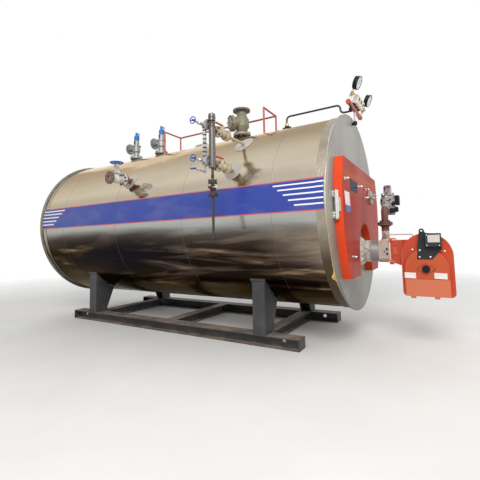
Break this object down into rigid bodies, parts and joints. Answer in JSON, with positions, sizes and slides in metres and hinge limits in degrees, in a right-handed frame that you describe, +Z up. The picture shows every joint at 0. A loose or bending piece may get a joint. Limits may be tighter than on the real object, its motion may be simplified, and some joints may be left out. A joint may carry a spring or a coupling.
{
  "type": "industrial boiler",
  "caption": "Horizontal packaged fire-tube steam boiler on a steel skid, with a box smokebox door, gas burner, steam and safety valves, feed valve, level column and gauges.",
  "frame": {"origin": "floor level under the middle of the shell, on the bottom face of the middle cross beam", "axes": "+X along the shell towards the burner, +Z up, level column and feed valve on the -Y side"},
  "size_m": [5.7688, 2.706, 3.1123],
  "materials": {
    "mirror_steel": "mirror polished stainless sheet",
    "band_steel": "mottled stainless sheet",
    "plate_grey": "satin grey paint",
    "door_orange": "glossy orange-red paint",
    "bright_steel": "bright steel",
    "lagging_cream": "matt lagging",
    "throat_grey": "bare grey metal",
    "head_beige": "satin beige paint",
    "pipe_brown": "brown primer",
    "cast_aluminium": "cast aluminium",
    "burner_orange": "semi-gloss orange-red paint",
    "cover_orange": "satin orange-red paint",
    "black_plastic": "matt black",
    "bracket_slate": "dark slate paint",
    "servo_slate": "slate plastic",
    "motor_grey": "dark grey paint",
    "skid_grey": "dark grey paint, dusty",
    "saddle_grey": "dark grey paint",
    "valve_olive": "olive grey paint",
    "nozzle_grey": "grey metal",
    "safety_silver": "silver paint",
    "rail_red": "satin red paint",
    "valve_cream": "cream paint",
    "wheel_blue": "blue paint",
    "column_steel": "polished steel",
    "switch_cream": "cream plastic",
    "pipe_black": "black paint"
  },
  "bodies": {
    "root": {"shell_cladding": "mirror_steel", "end_bands": "band_steel", "front_plate": "plate_grey", "rear_plate": "plate_grey", "smokebox_door": "door_orange", "door_hinges": "bright_steel", "inspection_hatch": "bright_steel", "burner_mount_plate": "lagging_cream", "burner_throat": "throat_grey", "burner_head": "head_beige", "gas_inlet": "pipe_brown", "gas_valve": "cast_aluminium", "burner_flange": "burner_orange", "burner_housing": "burner_orange", "burner_cover": "cover_orange", "burner_cap": "black_plastic", "burner_bracket": "bracket_slate", "burner_servo": "servo_slate", "burner_motor": "motor_grey", "skid_rails": "skid_grey", "skid_cross_beams": "skid_grey", "saddle_front": "saddle_grey", "saddle_rear": "saddle_grey", "nozzle_rosettes": "mirror_steel", "steam_nozzle": "valve_olive", "steam_valve": "valve_olive", "safety_nozzles": "nozzle_grey", "safety_valve_front": "safety_silver", "safety_valve_rear": "safety_silver", "handrail": "rail_red", "feed_nozzle": "pipe_brown", "feed_valve": "valve_cream", "feed_handwheel": "wheel_blue", "column_upper_branch": "valve_cream", "column_lower_branch": "valve_cream", "level_column": "column_steel", "gauge_glass": "column_steel", "column_drain": "column_steel", "gauge_manifold": "rail_red", "pressure_gauges": "black_plastic", "pressure_switches": "switch_cream", "impulse_pipe": "pipe_black", "manhole": "band_steel", "rear_door": "door_orange", "flue_outlet": "nozzle_grey"}
  },
  "joints": []
}
